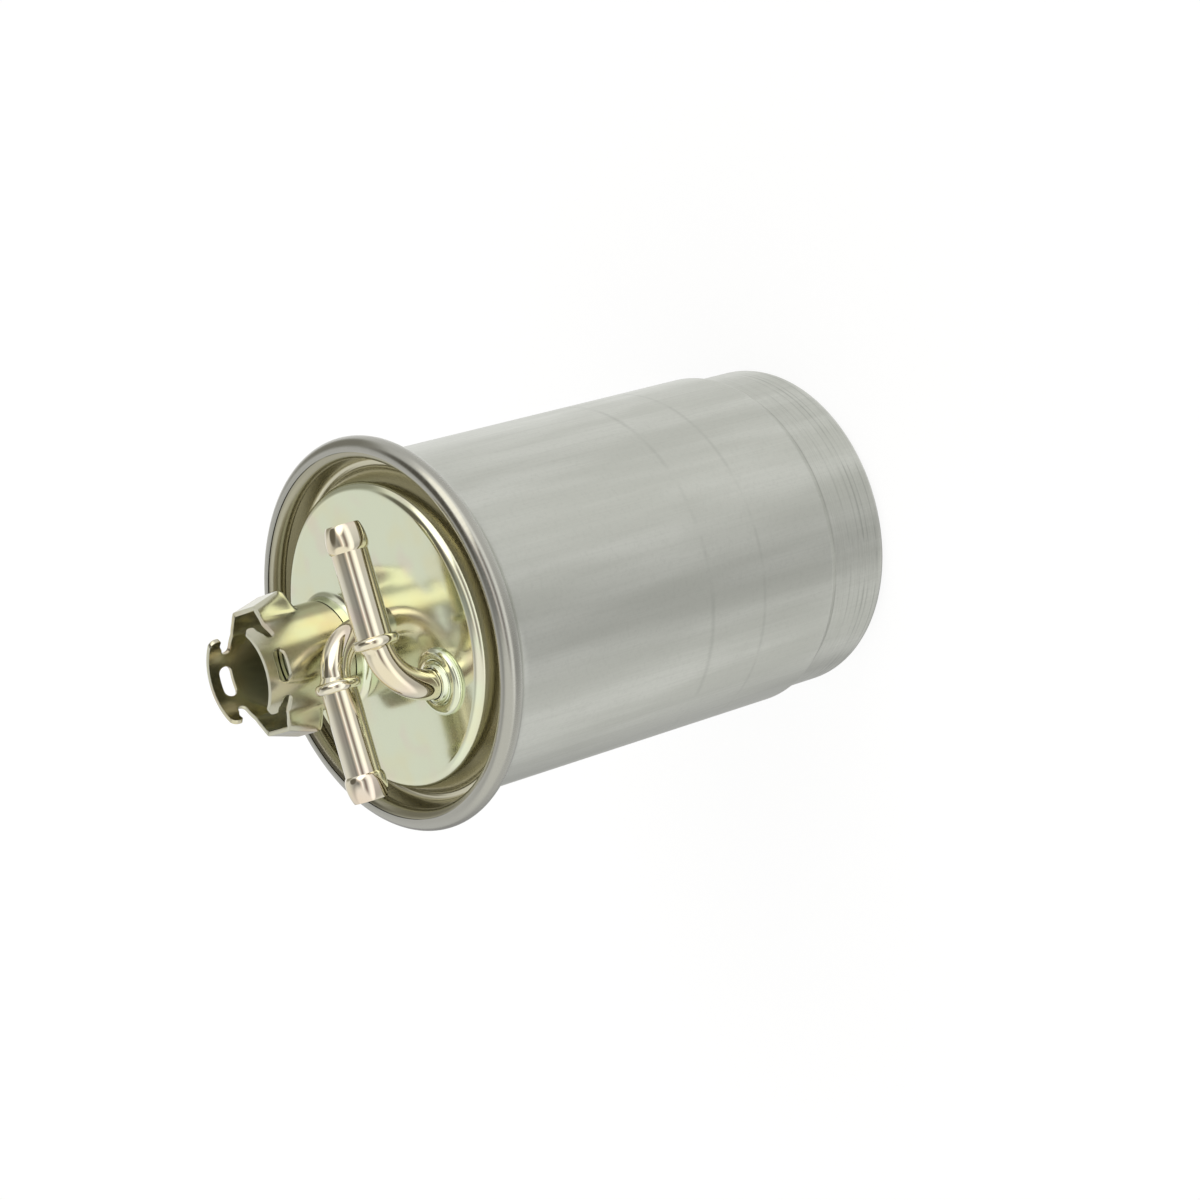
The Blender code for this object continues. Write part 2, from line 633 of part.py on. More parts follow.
def main():
    clear_scene()
    parts = new_collection(NAME)
    cutters = new_collection(NAME + "_cutters")
    can(parts)
    lid(parts, cutters)
    seam_seal(parts)
    valve_collar(parts)
    valve_socket_cup(parts)
    hose_pipe("inlet_pipe", INLET_XY, INLET_ELBOW, 1, INLET_TIP_X, INLET_Z, INLET_END_Z, parts, cutters)
    hose_pipe("outlet_pipe", OUTLET_XY, OUTLET_ELBOW, -1, OUTLET_TIP_X, OUTLET_Z, OUTLET_END_Z, parts, cutters)
    ferrule("inlet_ferrule", INLET_XY, RING_R, parts)
    ferrule("outlet_ferrule", OUTLET_XY, 0, parts)
    outlet_socket(parts)
    socket_seal(parts)
    element_cap("element_top_cap", ELEMENT_HIGH_Z + GAP, 1, 11.6 * MM, parts)
    glue_ring("top_glue", ELEMENT_HIGH_Z - 0.6 * MM, ELEMENT_HIGH_Z, parts)
    element_pleats(parts)
    centre_tube(parts, cutters)
    glue_ring("bottom_glue", ELEMENT_LOW_Z, ELEMENT_LOW_Z + 0.6 * MM, parts)
    element_cap("element_bottom_cap", ELEMENT_LOW_Z - GAP, -1, 2.0 * MM, parts)
    water_baffle(parts, cutters)
    element_spring(parts)
    spring_seat(parts)
    drain_boss(parts)
    drain_washer(parts)
    boss_nut(parts, cutters)
    thread_axis = bpy.data.objects.new("drain_axis", None)
    parts.objects.link(thread_axis)
    drain_screw(parts, cutters, thread_axis)
    drain_seal(parts, thread_axis)


main()
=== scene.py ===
"""The diesel fuel filter's looks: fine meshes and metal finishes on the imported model, in a pale studio.

Lengths are in metres, except where a comment says millimetres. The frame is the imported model's: the can
stands on z = 0 and its axis is +Z.
"""

import math

import bmesh
import bpy
from mathutils import Matrix, Vector


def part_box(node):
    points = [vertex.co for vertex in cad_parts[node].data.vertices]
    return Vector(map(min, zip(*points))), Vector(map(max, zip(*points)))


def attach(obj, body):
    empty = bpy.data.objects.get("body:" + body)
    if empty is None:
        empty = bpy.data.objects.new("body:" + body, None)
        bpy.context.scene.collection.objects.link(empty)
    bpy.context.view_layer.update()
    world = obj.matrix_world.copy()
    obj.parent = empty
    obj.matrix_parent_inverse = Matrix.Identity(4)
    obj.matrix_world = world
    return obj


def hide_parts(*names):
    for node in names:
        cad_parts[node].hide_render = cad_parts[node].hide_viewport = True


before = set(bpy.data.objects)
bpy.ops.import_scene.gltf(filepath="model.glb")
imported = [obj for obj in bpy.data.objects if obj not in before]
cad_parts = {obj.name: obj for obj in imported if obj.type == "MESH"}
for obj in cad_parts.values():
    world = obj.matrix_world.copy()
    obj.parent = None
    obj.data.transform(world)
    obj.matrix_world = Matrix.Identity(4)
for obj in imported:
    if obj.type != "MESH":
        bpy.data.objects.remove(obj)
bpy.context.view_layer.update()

MM = 0.001
STATIC = "filter"

# The collar's sheet rises up to this much over its outline when it is thickened and its edges are bevelled.
EDGE_RISE = 0.05 * MM

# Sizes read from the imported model.
ROLL_OUT_R, ROLL_TOP_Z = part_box("can")[1][0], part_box("can")[1][2]
COLLAR_TOP_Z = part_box("valve_collar")[1][2] - EDGE_RISE
COLLAR_FOOT_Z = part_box("valve_collar")[0][2]
INLET_TIP_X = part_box("inlet_pipe")[1][0]
OUTLET_TIP_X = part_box("outlet_pipe")[0][0]
INLET_END_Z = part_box("inlet_pipe")[0][2]
OUTLET_END_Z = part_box("outlet_pipe")[0][2]
SCREW_LOW_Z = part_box("drain_screw")[0][2]
SCREW_TOP_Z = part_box("drain_screw")[1][2]
BOSS_LOW_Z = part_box("drain_boss")[0][2]
BOSS_TOP_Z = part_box("drain_boss")[1][2]

# The can's section in millimetres and degrees, from the drain hole out and up to the rolled edge.
BOSS_HOLE_R = 7.8
RECESS_R = 21.0
RECESS_H = 14.0
RECESS_CORNER_R = 3.0
FOOT_R = 37.6
FOOT_CORNER_R = 3.5
STEP_LOW_Z = 17.0
STEP_HIGH_Z = 19.3
CAN_R = 38.82
CAN_WALL = 0.9
FLARE_FOOT_Z = 107.0
FLARE_CENTRE = (44.4, 108.55)
FLARE_R = 5.6
ROLL_R = 2.6
ROLL_SHEET = 0.8
ROLL_CENTRE = (ROLL_OUT_R / MM - ROLL_R, ROLL_TOP_Z / MM - ROLL_R)
LIP_END = 102

# The lid's levels in millimetres: its raised middle and the groove round that.
PLATEAU_Z = 118.7
PLATEAU_UNDER_Z = 117.3
GROOVE_Z = 111.7
GROOVE_UNDER_Z = 110.8

# The pipes.
TUBE_R = 3.35 * MM
STUB_R = 4.0 * MM
BEAD_R = 5.0 * MM
BORE_R = 2.2 * MM
TIP_LENGTH = 5.5 * MM
INLET_XY = (-12.7 * MM, -17.0 * MM)
OUTLET_XY = (2.4 * MM, 0.0)
INLET_ELBOW = 11.5 * MM
INLET_Z = 132.0 * MM
OUTLET_ELBOW = 9.7 * MM
OUTLET_Z = 132.8 * MM
PIPE_HOLE_R = 3.7 * MM

# The collar, and the neck that it stands round.
COLLAR_Y = 18.0 * MM
COLLAR_R = 12.0 * MM
QUARTER = COLLAR_R * math.pi / 2
COLLAR_SHEET = 1.0 * MM
SLOT_Z = 140.85 * MM
SHELF_Z = 139.4 * MM
EAR_TOP_Z = 139.0 * MM
EAR_BULGE_Z = 131.5 * MM
EAR_ROOT_Z = 128.7 * MM
EAR_EDGE_X = 14.0 * MM
EAR_BULGE_X = 16.0 * MM
EAR_HALF = 4.4 * MM
GUSSET = 1.0 * MM
FLARE_END = 3.0 * MM
NECK_R = 10.65 * MM
NECK_BORE_R = 9.6 * MM
NECK_TOP_Z = 126.5 * MM

# The camera that the picture was taken with.
CAMERA_AT = (-4.85 * MM, -626.43 * MM, 554.1 * MM)
CAMERA_RIGHT = Vector((-0.27909, -0.59677, -0.75232))
CAMERA_UP = Vector((0.96027, -0.17266, -0.21928))
LENS_MM = 105.4
FILM_MM = 36

# Steps round a turned piece, and the angle in degrees past which an edge stays hard.
FINE = 192
MEDIUM = 96
SHARP = 35.0


# ---------------------------------------------------------------- mesh helpers


def arc(centre, radius, start, end, count):
    """Points on an arc, angles in degrees, both ends included."""
    points = []
    x, y = centre
    for i in range(count + 1):
        angle = math.radians(start + (end - start) * i / count)
        points.append((x + radius * math.cos(angle), y + radius * math.sin(angle)))
    return points


def rounded(corners, step=9.0):
    """A closed outline in metres from (radius, height, fillet) corners in millimetres, each fillet an arc."""
    points = []
    count = len(corners)
    for i, (x, y, fillet) in enumerate(corners):
        here = Vector((x, y))
        if fillet <= 0:
            points.append(here)
            continue
        before = (Vector(corners[i - 1][:2]) - here).normalized()
        after = (Vector(corners[(i + 1) % count][:2]) - here).normalized()
        half = before.angle(after) / 2
        reach = fillet / math.tan(half)
        centre = here + (before + after).normalized() * fillet / math.sin(half)
        start, end = here + before * reach - centre, here + after * reach - centre
        sweep = start.angle_signed(end)
        pieces = max(2, int(abs(math.degrees(sweep)) / step))
        for k in range(pieces + 1):
            turned_by = -sweep * k / pieces
            cos, sin = math.cos(turned_by), math.sin(turned_by)
            spoke = Vector((start.x * cos - start.y * sin, start.x * sin + start.y * cos))
            points.append(centre + spoke)
    return [(p[0] * MM, p[1] * MM) for p in points]


def smooth(mesh, sharp=SHARP):
    """Smooth shading, with every edge that is sharper than the angle left hard."""
    for polygon in mesh.polygons:
        polygon.use_smooth = True
    mesh.set_sharp_from_angle(angle=math.radians(sharp))


def finish_mesh(name, shape, sharp=SHARP):
    """Turns a bmesh into a smooth-shaded object in the scene, and frees the bmesh."""
    bmesh.ops.recalc_face_normals(shape, faces=shape.faces)
    mesh = bpy.data.meshes.new(name)
    shape.to_mesh(mesh)
    shape.free()
    smooth(mesh, sharp)
    obj = bpy.data.objects.new(name, mesh)
    bpy.context.scene.collection.objects.link(obj)
    return obj


def turned(name, profile, at=(0, 0), steps=MEDIUM):
    """A piece turned about the vertical through `at`, from an outline that is closed or ends on the axis."""
    shape = bmesh.new()
    verts = [shape.verts.new((r, 0, z)) for r, z in profile]
    edges = [shape.edges.new(pair) for pair in zip(verts, verts[1:])]
    if profile[0][0] > 0 or profile[-1][0] > 0:
        edges.append(shape.edges.new((verts[-1], verts[0])))
    bmesh.ops.spin(
        shape,
        geom=verts + edges,
        cent=(0, 0, 0),
        axis=(0, 0, 1),
        angle=2 * math.pi,
        steps=steps,
        use_merge=True,
    )
    bmesh.ops.remove_doubles(shape, verts=shape.verts, dist=0.01 * MM)
    bmesh.ops.translate(shape, verts=shape.verts, vec=(at[0], at[1], 0))
    return finish_mesh(name, shape)


def cutter(radius, low, high, at=(0, 0), sides=MEDIUM):
    """An upright cylinder to cut away."""
    shape = bmesh.new()
    place = Matrix.Translation((at[0], at[1], (low + high) / 2))
    bmesh.ops.create_cone(
        shape, cap_ends=True, segments=sides, radius1=radius, radius2=radius, depth=high - low, matrix=place
    )
    return finish_mesh("cutter", shape)


def combine(piece, other, operation="DIFFERENCE"):
    """Applies one exact Boolean to a piece and removes the other object."""
    modifier = piece.modifiers.new("Combine", "BOOLEAN")
    modifier.operation = operation
    modifier.object = other
    modifier.solver = "EXACT"
    graph = bpy.context.evaluated_depsgraph_get()
    mesh = bpy.data.meshes.new_from_object(piece.evaluated_get(graph))
    piece.modifiers.clear()
    piece.data = mesh
    bpy.data.objects.remove(other)


def reshade(piece):
    """Smooth shading that keeps large flat faces flat."""
    smooth(piece.data)
    weighted = piece.modifiers.new("Normals", "WEIGHTED_NORMAL")
    weighted.keep_sharp = True
    weighted.weight = 100


def swept(name, stations, bore, sides=48):
    """A pipe in a plane of constant y: a ring of each station's radius, and one bore from end to end."""
    shape = bmesh.new()
    centres = [Vector(point) for point, _ in stations]
    across = Vector((0, 1, 0))

    def ring(centre, along, radius):
        side = along.cross(across).normalized()
        verts = []
        for k in range(sides):
            angle = 2 * math.pi * k / sides
            spoke = side * math.cos(angle) + across * math.sin(angle)
            verts.append(shape.verts.new(centre + spoke * radius))
        return verts

    directions = []
    for i in range(len(centres)):
        ahead = centres[min(i + 1, len(centres) - 1)] - centres[max(i - 1, 0)]
        directions.append(ahead.normalized())
    path = list(zip(centres, directions))
    rings = [ring(centre, along, radius) for (centre, along), (_, radius) in zip(path, stations)]
    rings += [ring(centre, along, bore) for centre, along in reversed(path)]
    rings.append(rings[0])
    for first, second in zip(rings, rings[1:]):
        for k in range(sides):
            n = (k + 1) % sides
            shape.faces.new((first[k], first[n], second[n], second[k]))
    return finish_mesh(name, shape)


# ---------------------------------------------------------------- materials


class Tree:
    """Small helpers for building a node tree."""

    def __init__(self, tree):
        self.nodes = tree.nodes
        self.links = tree.links

    def add(self, kind, inputs=(), **settings):
        node = self.nodes.new(kind)
        for key, value in settings.items():
            setattr(node, key, value)
        for key, value in dict(inputs).items():
            self.feed(node.inputs[key], value)
        return node

    def feed(self, socket, value):
        """Links a socket, or sets it. A bare colour is given its alpha."""
        if isinstance(value, bpy.types.NodeSocket):
            self.links.new(value, socket)
        elif socket.type == "RGBA" and len(value) == 3:
            socket.default_value = (*value, 1.0)
        else:
            socket.default_value = value

    def math(self, operation, first, second=0.0):
        return self.add("ShaderNodeMath", {0: first, 1: second}, operation=operation).outputs[0]

    def vector(self, operation, first, second=(0, 0, 0)):
        node = self.add("ShaderNodeVectorMath", {0: first, 1: second}, operation=operation)
        return node.outputs["Value" if operation in ("LENGTH", "DOT_PRODUCT") else "Vector"]

    def split(self, vector):
        return self.add("ShaderNodeSeparateXYZ", {0: vector}).outputs

    def ramp(self, value, low, high, to_low=0.0, to_high=1.0):
        """A smooth step from one level to another as the value goes from low to high."""
        node = self.add(
            "ShaderNodeMapRange",
            {"Value": value, "From Min": low, "From Max": high, "To Min": to_low, "To Max": to_high},
            interpolation_type="SMOOTHSTEP",
        )
        return node.outputs[0]

    def bell(self, value, middle, half):
        """1 where the value is at the middle, falling smoothly to 0 at half away on either side."""
        away = self.math("ABSOLUTE", self.math("SUBTRACT", value, middle))
        return self.ramp(away, 0.0, half, 1.0, 0.0)

    def stops(self, value, steps, interpolation="B_SPLINE"):
        """A smooth colour ramp through (position, grey or colour) steps, which may be brighter than 1."""
        colours = [colour if isinstance(colour, tuple) else (colour,) * 3 for _, colour in steps]
        top = max(max(colour) for colour in colours)
        node = self.add("ShaderNodeValToRGB", {0: value})
        node.color_ramp.interpolation = interpolation
        elements = node.color_ramp.elements
        while len(elements) < len(steps):
            elements.new(0.5)
        for element, (position, _), colour in zip(elements, steps, colours):
            element.position = position
            element.color = (*(level / top for level in colour), 1.0)
        inputs = {0: node.outputs[0], "Scale": top}
        return self.add("ShaderNodeVectorMath", inputs, operation="SCALE").outputs["Vector"]

    def mix(self, factor, first, second):
        """A mix of two colours: on the Mix node these are inputs 6 and 7 and output 2, counted from 0."""
        return self.add("ShaderNodeMix", {0: factor, 6: first, 7: second}, data_type="RGBA").outputs[2]


class Finish(Tree):
    """A Principled material with small helpers for its nodes."""

    def __init__(self, name, base, roughness, metallic=1.0):
        self.material = bpy.data.materials.new(name)
        self.material.use_nodes = True
        super().__init__(self.material.node_tree)
        self.shader = self.nodes["Principled BSDF"]
        self.set(Base_Color=base, Roughness=roughness, Metallic=metallic)
        self.place = self.add("ShaderNodeTexCoord").outputs["Object"]

    def scaled(self, x, y=None, z=None):
        """Object position in millimetres times the factors. Left out, y and z take the factor of x."""
        factors = (x, x if y is None else y, x if z is None else z)
        return self.vector("MULTIPLY", self.place, tuple(factor / MM for factor in factors))

    def noise(self, vector, detail, roughness=0.5):
        inputs = {"Vector": vector, "Scale": 1.0, "Detail": detail, "Roughness": roughness}
        return self.add("ShaderNodeTexNoise", inputs).outputs[0]

    def round_can(self):
        """The unit direction from the can's axis, to wrap a pattern with no seam, and the height in mm."""
        flat = self.vector("NORMALIZE", self.vector("MULTIPLY", self.place, (1, 1, 0)))
        return flat, self.math("MULTIPLY", self.split(self.place)[2], 1 / MM)

    def stretched(self, around, height, round_scale, up_scale):
        """A pattern space wrapped on the can, with its own scale round it and up it."""
        wrapped = self.vector("MULTIPLY", around, (round_scale, round_scale, 0))
        risen = self.add("ShaderNodeCombineXYZ", {2: self.math("MULTIPLY", height, up_scale)}).outputs[0]
        return self.vector("ADD", wrapped, risen)

    def bump(self, value, strength, distance, under=None):
        inputs = {"Height": value, "Strength": strength, "Distance": distance}
        if under is not None:
            inputs["Normal"] = under
        return self.add("ShaderNodeBump", inputs).outputs[0]

    def set(self, **sockets):
        """Sets or links the shader's sockets, with spaces written as underscores, and gives the material."""
        for key, value in sockets.items():
            self.feed(self.shader.inputs[key.replace("_", " ")], value)
        return self.material


def aluminium():
    """Drawn aluminium: satin, with faint lines up the can, turned scratches round it and rubbed rings."""
    finish = Finish("drawn_aluminium", (0.62, 0.63, 0.57), 0.34)
    around, z = finish.round_can()
    up_lines = finish.noise(finish.stretched(around, z, 90, 0.04), 4.0, 0.65)
    broad = finish.noise(finish.stretched(around, z, 5.0, 0.012), 2.0, 0.5)
    turned_lines = finish.noise(finish.stretched(around, z, 3.0, 3.2), 4.0, 0.7)
    cloud = finish.noise(finish.scaled(0.05, 0.05, 0.03), 3.0, 0.55)
    colour = finish.mix(finish.ramp(broad, 0.35, 0.65), (0.575, 0.585, 0.53), (0.66, 0.67, 0.615))
    colour = finish.mix(finish.ramp(up_lines, 0.35, 0.7, 0.0, 0.17), colour, (0.50, 0.51, 0.46))
    colour = finish.mix(finish.ramp(cloud, 0.5, 0.8, 0.0, 0.3), colour, (0.50, 0.51, 0.46))
    grain = finish.noise(finish.scaled(1.1), 3.0, 0.7)
    colour = finish.mix(finish.ramp(grain, 0.45, 0.72, 0.0, 0.16), colour, (0.42, 0.43, 0.39))
    patchy = finish.ramp(finish.noise(finish.stretched(around, z, 4.0, 0.05), 2.0), 0.33, 0.6)
    # A rubbed ring is its height and half width in millimetres, and how far it darkens the metal.
    rings = [(56.2, 1.0, 0.22), (40.5, 0.8, 0.2), (17.3, 0.5, 0.45), (12.4, 0.3, 0.3), (9.3, 0.3, 0.35)]
    rings += [(7.7, 0.4, 0.55), (6.4, 0.3, 0.4), (3.9, 0.3, 0.45)]
    for height, half_width, depth in rings:
        ring = finish.math("MULTIPLY", finish.bell(z, height, half_width), patchy)
        colour = finish.mix(finish.math("MULTIPLY", ring, depth), colour, (0.30, 0.31, 0.28))
    roll_low_z = 113.5
    colour = finish.mix(finish.ramp(z, roll_low_z, 117.0), colour, (0.43, 0.425, 0.38))
    foot = finish.ramp(z, 19.0, STEP_LOW_Z)
    low_lines = finish.ramp(turned_lines, 0.42, 0.62)
    scored = finish.math("MULTIPLY", finish.math("MULTIPLY", foot, low_lines), 0.25)
    colour = finish.mix(scored, colour, (0.42, 0.43, 0.38))
    rough = finish.ramp(up_lines, 0.3, 0.7, 0.30, 0.38)
    rough = finish.math("ADD", rough, finish.ramp(cloud, 0.4, 0.7, 0.0, 0.05))
    rough = finish.math("SUBTRACT", rough, finish.ramp(z, roll_low_z, 118.0, 0.0, 0.14))
    normal = finish.bump(up_lines, 0.10, 0.02 * MM)
    normal = finish.bump(turned_lines, finish.ramp(foot, 0.0, 1.0, 0.05, 0.25), 0.02 * MM, normal)
    return finish.set(Base_Color=colour, Roughness=rough, Normal=normal)


def chromate(name, base, warm, rose, roughness, wave, rim=None):
    """Zinc plate under a yellow chromate film: pale, with soft patches of gold and rose.

    `rim` is the duller colour that the lid's groove has, from its sloping wall outwards. From the groove's
    outer corner out, on the wall and the hook under the rolled edge, a darker copy of it is painted shade.
    """
    finish = Finish(name, base, roughness)
    patches = finish.noise(finish.scaled(0.07), 2.0, 0.5)
    other = finish.noise(finish.vector("ADD", finish.scaled(0.11), (7.0, 3.0, 5.0)), 1.0, 0.5)
    grain = finish.noise(finish.scaled(2.0), 2.0, 0.5)
    colour = finish.mix(finish.ramp(patches, 0.45, 0.70, 0.0, 0.6), base, warm)
    colour = finish.mix(finish.ramp(other, 0.52, 0.72, 0.0, 0.5), colour, rose)
    if rim:
        reach = finish.vector("LENGTH", finish.vector("MULTIPLY", finish.place, (1 / MM, 1 / MM, 0)))
        colour = finish.mix(finish.ramp(reach, 33.2, 35.0), colour, rim)
        # Painted shade: from the groove's outer corner out, on the wall and the hook under the rolled edge,
        # the rim colour is darkened to 0.62 of itself.
        colour = finish.mix(finish.ramp(reach, 38.0, 39.0), colour, tuple(level * 0.62 for level in rim))
    rough = finish.ramp(grain, 0.3, 0.7, roughness * 0.9, roughness * 1.1)
    if rim:
        rough = finish.math("ADD", rough, finish.ramp(reach, 34.0, 36.0, 0.0, 0.1))
    slow = finish.noise(finish.scaled(0.12), 1.0, 0.4)
    return finish.set(Base_Color=colour, Roughness=rough, Normal=finish.bump(slow, wave, 0.3 * MM))


def plain(name, base, roughness, metallic, grain_scale=1.0, strength=0.1):
    """One colour, broken up only by a fine grain."""
    finish = Finish(name, base, roughness, metallic)
    grain = finish.noise(finish.scaled(grain_scale), 4.0, 0.6)
    darker = tuple(c * 0.8 for c in base)
    colour = finish.mix(finish.ramp(grain, 0.3, 0.7), darker, base)
    rough = finish.ramp(grain, 0.3, 0.7, roughness * 0.9, min(1.0, roughness * 1.15))
    return finish.set(Base_Color=colour, Roughness=rough, Normal=finish.bump(grain, strength, 0.05 * MM))


# ---------------------------------------------------------------- pieces


def own(piece, node, material, body=STATIC):
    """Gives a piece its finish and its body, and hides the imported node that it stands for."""
    piece.data.materials.clear()
    piece.data.materials.append(material)
    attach(piece, body)
    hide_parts(node)


def can_shell():
    """The drawn can, with its top edge rolled over the lid's flange."""
    inner_foot_r, floor_z = FOOT_R - CAN_WALL, RECESS_H + CAN_WALL
    corners = [(BOSS_HOLE_R, RECESS_H, 0), (RECESS_R, RECESS_H, RECESS_CORNER_R)]
    corners += [(RECESS_R, 0, RECESS_CORNER_R), (FOOT_R, 0, FOOT_CORNER_R)]
    corners += [(FOOT_R, STEP_LOW_Z, 0.4), (CAN_R, STEP_HIGH_Z, 1.2), (CAN_R, FLARE_FOOT_Z, 0)]
    bends = [(FLARE_CENTRE, FLARE_R, 180, 112, 18), (ROLL_CENTRE, ROLL_R, -69, LIP_END, 50)]
    bends += [(ROLL_CENTRE, ROLL_R - ROLL_SHEET, LIP_END, -60, 30)]
    bends += [(FLARE_CENTRE, FLARE_R + ROLL_SHEET, 118, 178, 12)]
    for bend in bends:
        corners += [(x, y, 0) for x, y in arc(*bend)]
    corners += [(CAN_R - CAN_WALL, FLARE_FOOT_Z, 0), (CAN_R - CAN_WALL, STEP_HIGH_Z + 0.3, 1.0)]
    corners += [(inner_foot_r, STEP_LOW_Z, 1.0), (inner_foot_r, CAN_WALL, FOOT_CORNER_R - CAN_WALL)]
    corners += [(RECESS_R + CAN_WALL, CAN_WALL, RECESS_CORNER_R - CAN_WALL)]
    corners += [(RECESS_R + CAN_WALL, floor_z, RECESS_CORNER_R + CAN_WALL), (BOSS_HOLE_R, floor_z, 0)]
    return turned("can_shell", rounded(corners, step=6.0), steps=FINE)


def lid_shell():
    """The lid's sheet with the collar's drawn neck and the two pipe holes."""
    top = [(0, PLATEAU_Z, 0), (33.55, PLATEAU_Z, 2.5), (36.4, GROOVE_Z, 0.9), (38.1, GROOVE_Z, 1.2)]
    # The rim's hook over the roll, as arcs about the roll's centre: (radius, start, end, steps).
    hook = [(2.38, 222, LIP_END + 3, 36), (1.65, LIP_END + 4, 60, 10)]
    hook += [(0.9, 60, LIP_END + 12, 10), (1.45, 118, 205, 20)]
    bead = []
    for radius, start, end, count in hook:
        bead += [(x, y, 0) for x, y in arc(ROLL_CENTRE, radius, start, end, count)]
    under = [(39.3, 112.6, 0.6), (38.5, GROOVE_UNDER_Z, 0.8), (35.8, GROOVE_UNDER_Z, 0.8)]
    under += [(33.0, PLATEAU_UNDER_Z, 1.2), (0, PLATEAU_UNDER_Z, 0)]
    plate = turned("lid_shell", rounded(top + bead + under, step=6.0), steps=FINE)

    shoulder_r, shoulder_z, fillet, root_z = 12.0 * MM, 121.9 * MM, 1.8 * MM, 118.0 * MM
    neck = [(NECK_BORE_R, NECK_TOP_Z), (NECK_R, NECK_TOP_Z), (NECK_R, shoulder_z), (shoulder_r, shoulder_z)]
    neck += arc((shoulder_r + fillet, 120.49 * MM), fillet, 180, 270, 16)
    neck += [(shoulder_r + fillet, root_z), (NECK_BORE_R, root_z)]
    combine(plate, turned("neck", neck, (0, COLLAR_Y), MEDIUM), "UNION")
    low, high = 110 * MM, 130 * MM
    combine(plate, cutter(NECK_BORE_R, low, high, (0, COLLAR_Y)))
    for at in (INLET_XY, OUTLET_XY):
        combine(plate, cutter(PIPE_HOLE_R, low, high, at, 48))
    reshade(plate)
    return plate


def pipe_stations(base, elbow, side, tip_x, run_z, end_z):
    """Stations along a pipe as (point, radius): riser, elbow, bead, stub and bulged tip."""
    x, y = base
    stations = [((x, y, end_z), TUBE_R), ((x, y, end_z + 2 * MM), TUBE_R)]
    bend_steps, last_turn = 36, 83
    for i in range(bend_steps + 1):
        turn = math.radians(last_turn * i / bend_steps)
        reach = elbow * (1 - math.cos(turn))
        stations.append(((x + side * reach, y, run_z - elbow + elbow * math.sin(turn)), TUBE_R))
    bead_x = x + side * elbow
    bead_steps = 16
    for i in range(bead_steps + 1):
        gone = i / bead_steps
        swell = (BEAD_R - TUBE_R) * max(0.0, math.sin(math.pi * gone)) ** 0.8 * (1 - 0.25 * gone)
        rest = TUBE_R + (STUB_R - TUBE_R) * gone
        along = 0.25 * MM - 1.25 * MM * math.cos(math.pi * gone)
        stations.append(((bead_x + side * along, y, run_z), rest + swell))
    cone_x = tip_x - side * TIP_LENGTH
    stations += [((cone_x - side * step * MM, y, run_z), STUB_R) for step in (0.7, 0.4)]
    tip_steps, widest_at = 24, 0.22
    first_r, widest_r, end_r = 4.3 * MM, 4.55 * MM, 3.6 * MM
    for i in range(tip_steps + 1):
        gone = i / tip_steps
        if gone < widest_at:
            radius = first_r + (widest_r - first_r) * math.sin(math.pi / 2 * gone / widest_at)
        else:
            falling = math.cos(math.pi / 2 * (gone - widest_at) / (1 - widest_at))
            radius = end_r + (widest_r - end_r) * max(0.0, falling) ** 0.7
        stations.append(((cone_x + side * gone * TIP_LENGTH, y, run_z), radius))
    return stations


def hose_pipe(name, base, elbow, side, tip_x, run_z, end_z):
    """A pipe from its end inside the lid, up and over to one side, where 1 is +X and -1 is -X."""
    return swept(name, pipe_stations(base, elbow, side, tip_x, run_z, end_z), BORE_R)


def ferrule(name, at, ring):
    """The brazed funnel round a pipe's foot, with its raised ring where there is one."""
    low = PLATEAU_Z + 0.01
    if ring:
        corners = [(7.5, low, 0.1), (7.2, low + 1.5, 1.3), (4.9, low + 1.4, 0.9), (4.7, low + 1.0, 0.3)]
    else:
        corners = [(4.85, low, 0.1)]
    corners += [(4.4, low + 1.1, 0.3), (4.0, low + 2.3, 0.2), (3.5, low + 2.4, 0.0), (3.5, low, 0.0)]
    return turned(name, rounded(corners, step=8.0), at, MEDIUM)


def collar_outline():
    """A quarter of the collar's sheet laid flat, from a tab's middle to an ear's, as (along it, height)."""
    notch_r, slot_r, corner_r = 1.15 * MM, 1.7 * MM, 1.55 * MM
    notch = (7.95 * MM, SHELF_Z + notch_r)
    slot_end = (2.0 * MM, SLOT_Z)
    points = [(0, COLLAR_FOOT_Z), (QUARTER, COLLAR_FOOT_Z), (QUARTER, EAR_TOP_Z)]
    points += [(QUARTER - EAR_HALF, EAR_TOP_Z)]
    points += [(13.5 * MM, SHELF_Z - 0.32 * MM), (12.6 * MM, SHELF_Z - 0.15 * MM)]
    points += [(11.9 * MM, SHELF_Z - 0.05 * MM), (11.2 * MM, SHELF_Z)]
    points += arc(notch, notch_r, 270, 90, 16)
    points += [(8.35 * MM, 141.8 * MM), (8.7 * MM, 142.05 * MM)]
    points += [(9.1 * MM, 142.25 * MM), (9.6 * MM, 142.36 * MM)]
    points += arc((10.45 * MM, 142.95 * MM), 0.65 * MM, 252, 360, 9)
    points += arc((9.55 * MM, COLLAR_TOP_Z - corner_r), corner_r, 0, 90, 14)
    points += [(0, COLLAR_TOP_Z), (0, SLOT_Z + slot_r)]
    points += arc(slot_end, slot_r, 90, -90, 18)
    points += [(0, SLOT_Z - slot_r)]
    return points


def portion(value, low, high):
    """How far a value has gone from low to high, between 0 and 1."""
    return min(max((value - low) / (high - low), 0.0), 1.0)


def ear_reach(z):
    """How far an ear's plate stands from the collar's axis at height z."""
    if z >= EAR_BULGE_Z:
        return EAR_BULGE_X + (EAR_EDGE_X - EAR_BULGE_X) * (z - EAR_BULGE_Z) / (EAR_TOP_Z - EAR_BULGE_Z)
    risen = portion(z, EAR_ROOT_Z, EAR_BULGE_Z)
    return COLLAR_R + (EAR_BULGE_X - COLLAR_R) * math.sin(risen * math.pi / 2)


